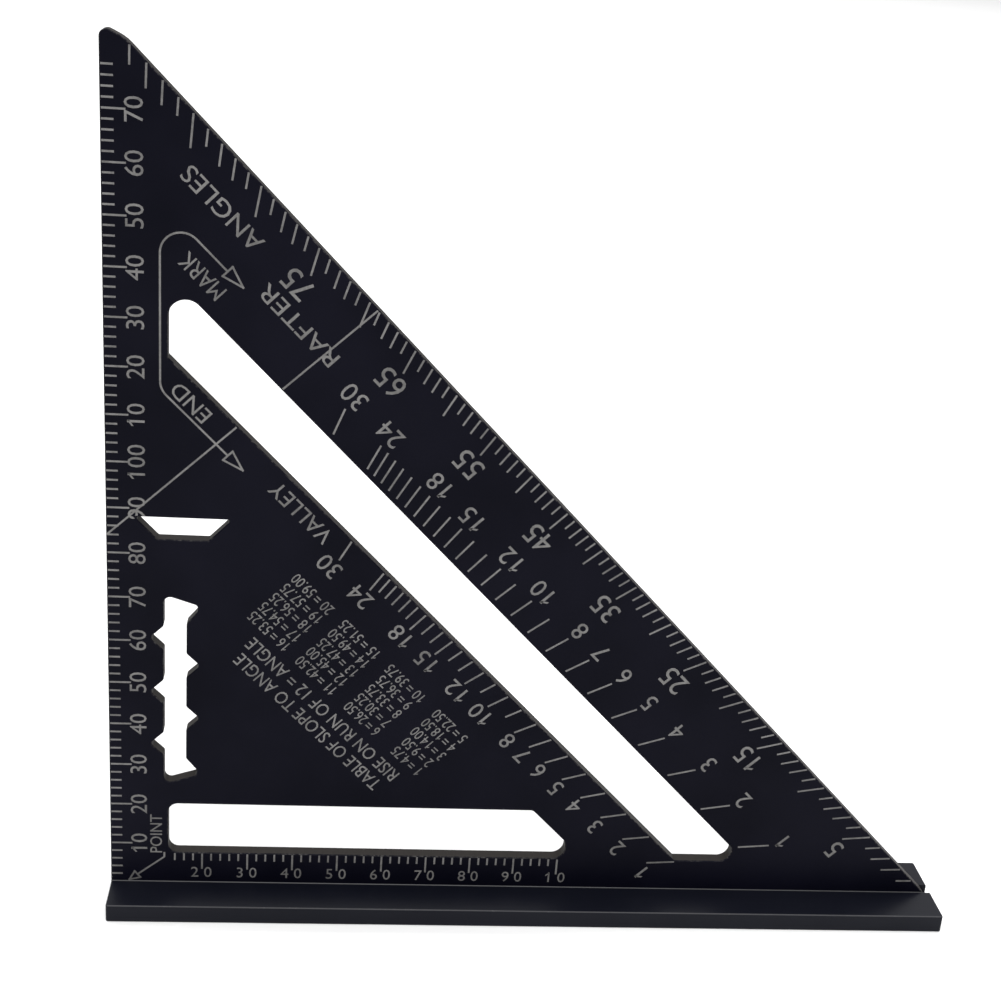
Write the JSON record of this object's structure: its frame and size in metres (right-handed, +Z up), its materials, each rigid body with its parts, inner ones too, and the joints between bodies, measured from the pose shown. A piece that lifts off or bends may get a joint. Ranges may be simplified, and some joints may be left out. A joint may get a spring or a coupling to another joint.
{
  "type": "speed square",
  "caption": "Triangular layout square: a slotted flat blade seated in a T-shaped fence, with millimetre, degree and rafter scales for marking and guiding cuts.",
  "frame": {"origin": "centre of the fence's underside, which the square stands on", "axes": "+X along the fence from the heel to the toe, +Z up the square edge, -Y out of the graduated face"},
  "size_m": [0.1894, 0.0218, 0.1884],
  "materials": {
    "blade": "black anodised, satin",
    "fence": "black anodised, satin",
    "marks": "engraved and filled, light grey"
  },
  "bodies": {
    "root": {"fence": "fence", "blade": "blade", "edge_scale_marks": "marks", "slot_scale_marks": "marks", "degree_scale_marks": "marks", "common_rafter_marks": "marks", "hip_rafter_marks": "marks", "layout_guides": "marks"}
  },
  "joints": []
}
